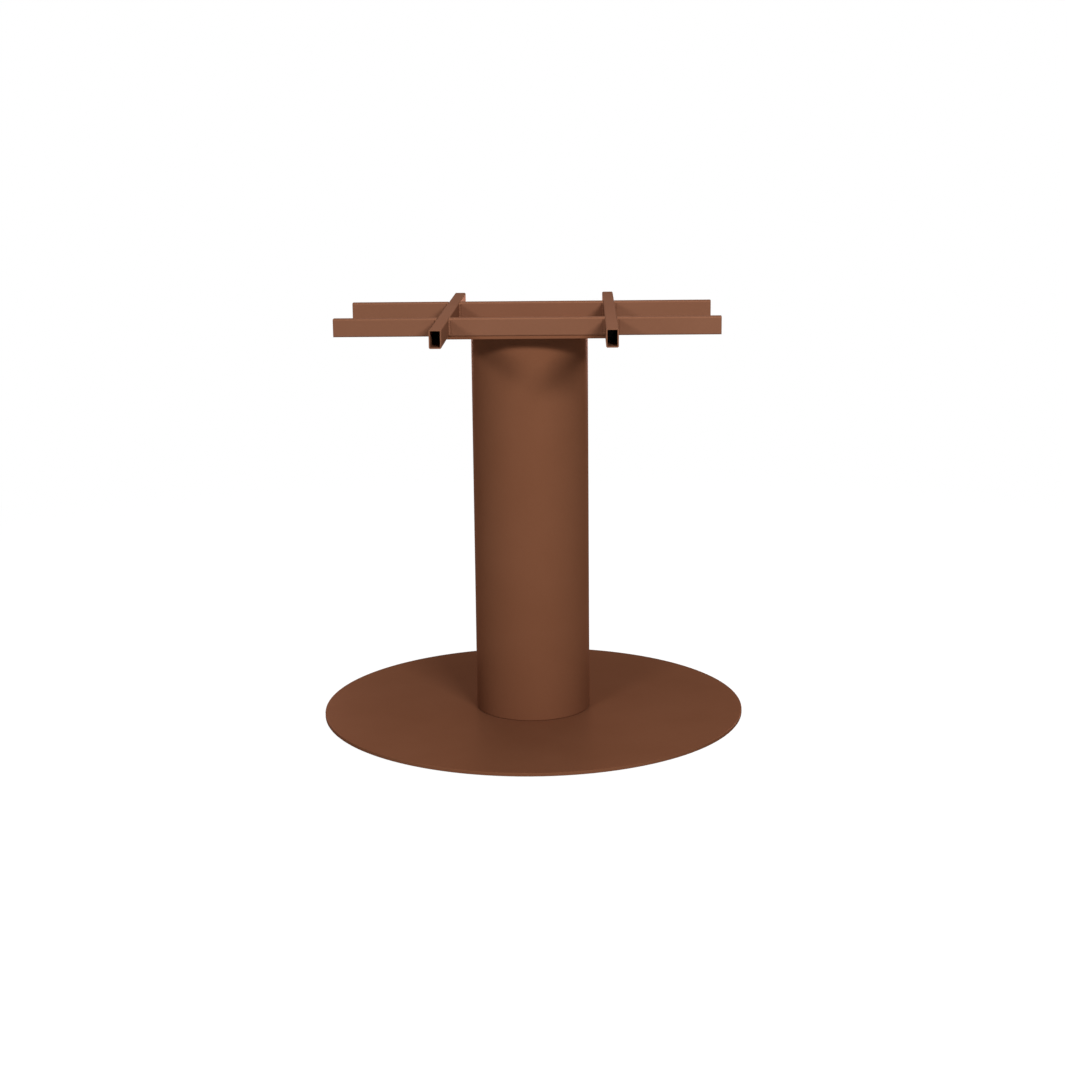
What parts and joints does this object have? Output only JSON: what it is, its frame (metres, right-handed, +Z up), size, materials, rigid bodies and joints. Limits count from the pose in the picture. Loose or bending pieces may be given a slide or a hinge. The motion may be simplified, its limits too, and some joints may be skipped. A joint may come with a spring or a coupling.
{
  "type": "table base",
  "caption": "Pedestal table base: a round steel floor plate, a wide tube column and a flat cross frame of rectangular tubes that carries a table top.",
  "frame": {"origin": "on the floor, on the column's axis: the centre of the bottom of the whole object's box", "axes": "+Z up along the column, +X to the right along the bars, +Y to the back along the cross tubes; the picture looks along +Y"},
  "size_m": [0.7499, 0.75, 0.723],
  "materials": {
    "powder_coat": "satin copper-brown powder coat",
    "zinc_plated_steel": "satin",
    "black_plastic": "matte"
  },
  "bodies": {
    "root": {"base_plate": "powder_coat", "column_tube": "powder_coat", "column_foot_flange": "powder_coat", "column_head_flange": "powder_coat", "foot_flange_weld": "powder_coat", "head_flange_weld": "powder_coat", "top_plate": "powder_coat", "cross_tube_left": "powder_coat", "cross_tube_right": "powder_coat", "bar_front_left": "powder_coat", "bar_front_middle": "powder_coat", "bar_front_right": "powder_coat", "bar_back_left": "powder_coat", "bar_back_middle": "powder_coat", "bar_back_right": "powder_coat", "weld_front_left": "powder_coat", "weld_front_right": "powder_coat", "weld_back_left": "powder_coat", "weld_back_right": "powder_coat", "plate_weld_front": "powder_coat", "plate_weld_back": "powder_coat", "plate_weld_left": "powder_coat", "plate_weld_right": "powder_coat", "base_screw_1": "zinc_plated_steel", "plate_bolt_1": "zinc_plated_steel", "plate_washer_1": "zinc_plated_steel", "base_screw_2": "zinc_plated_steel", "plate_bolt_2": "zinc_plated_steel", "plate_washer_2": "zinc_plated_steel", "base_screw_3": "zinc_plated_steel", "plate_bolt_3": "zinc_plated_steel", "plate_washer_3": "zinc_plated_steel", "base_screw_4": "zinc_plated_steel", "plate_bolt_4": "zinc_plated_steel", "plate_washer_4": "zinc_plated_steel", "floor_glide_1": "black_plastic", "floor_glide_2": "black_plastic", "floor_glide_3": "black_plastic", "floor_glide_4": "black_plastic", "floor_glide_5": "black_plastic", "floor_glide_6": "black_plastic"}
  },
  "joints": []
}
